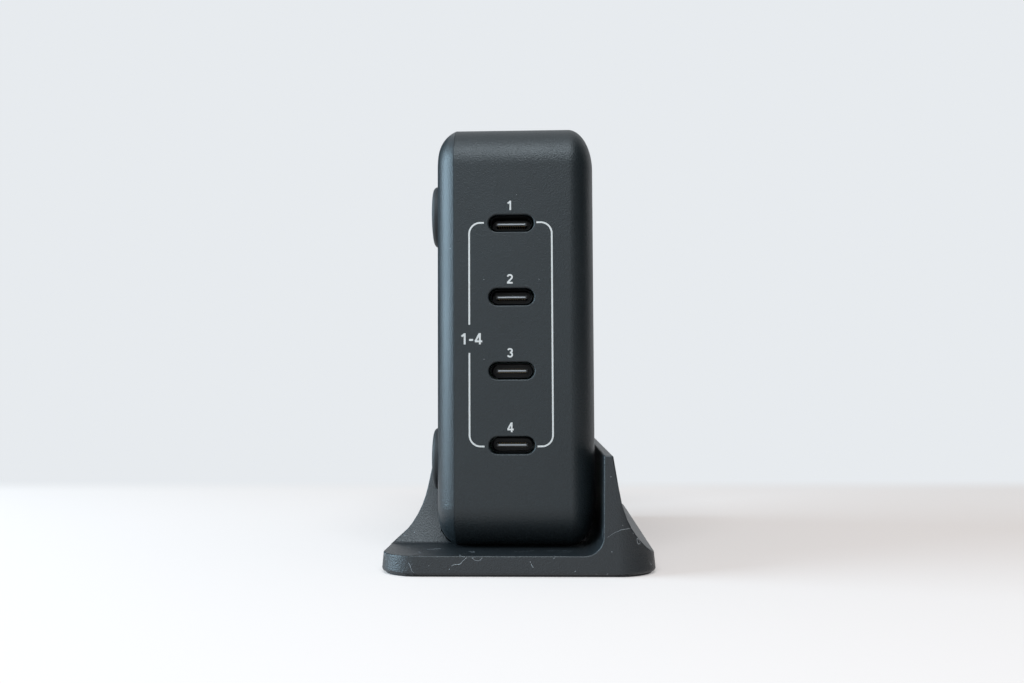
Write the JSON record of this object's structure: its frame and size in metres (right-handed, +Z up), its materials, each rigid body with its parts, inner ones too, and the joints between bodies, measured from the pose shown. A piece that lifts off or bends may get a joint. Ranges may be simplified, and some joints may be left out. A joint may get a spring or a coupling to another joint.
{
  "type": "desktop usb charger",
  "caption": "Slim desktop USB charger block standing on edge in a flared one-piece cradle, ports on its narrow front and a mains inlet at the back.",
  "frame": {"origin": "middle of the footprint, on the table", "axes": "+Z up, the ports face -Y, the mains inlet faces +Y, the full-length cradle wall is on +X"},
  "size_m": [0.0582, 0.1068, 0.0969],
  "materials": {
    "cradle_plastic": "fine matte grain",
    "shell_plastic": "fine matte grain",
    "cover_plastic": "satin",
    "rubber": "matte",
    "steel": "zinc plated",
    "port_metal": "dark nickel",
    "contact_plastic": "moulded",
    "pin_metal": "nickel plated",
    "lead_sleeve": "sleeve",
    "circuit_board": "solder mask",
    "sheet_film": "translucent film",
    "aluminium": "mill finish",
    "thermal_pad": "soft pad",
    "ferrite": "sintered ferrite",
    "copper": "enamelled copper",
    "tape": "polyester tape",
    "component_black": "epoxy",
    "capacitor_sleeve": "sleeve",
    "capacitor_can": "drawn can",
    "film_case": "moulded case"
  },
  "bodies": {
    "root": {"cradle": "cradle_plastic", "cradle_mat": "rubber", "main_shell": "shell_plastic", "side_cover": "cover_plastic", "foot_1": "rubber", "foot_2": "rubber", "foot_3": "rubber", "foot_4": "rubber", "cover_screws": "steel", "insulating_sheet": "sheet_film", "heat_spreader": "aluminium", "thermal_pad": "thermal_pad", "main_board": "circuit_board", "port_board": "circuit_board", "port_shell_1": "port_metal", "port_shell_2": "port_metal", "port_shell_3": "port_metal", "port_shell_4": "port_metal", "port_tongue_1": "contact_plastic", "port_tongue_2": "contact_plastic", "port_tongue_3": "contact_plastic", "port_tongue_4": "contact_plastic", "mains_inlet": "component_black", "inlet_pins": "pin_metal", "inlet_leads": "lead_sleeve", "fuse": "component_black", "film_capacitor": "film_case", "choke_core": "ferrite", "choke_windings": "copper", "bridge_rectifier": "component_black", "power_transistors": "component_black", "heat_sink": "aluminium", "bulk_capacitor_1": "capacitor_sleeve", "bulk_capacitor_2": "capacitor_sleeve", "boost_core": "ferrite", "boost_winding": "copper", "transformer_core": "ferrite", "transformer_winding": "tape", "output_inductor_1": "ferrite", "output_inductor_2": "ferrite", "output_inductor_3": "ferrite", "output_inductor_4": "ferrite", "output_capacitor_1": "capacitor_can", "output_capacitor_2": "capacitor_can", "output_capacitor_3": "capacitor_can", "output_capacitor_4": "capacitor_can", "controller_chips": "component_black"}
  },
  "joints": []
}
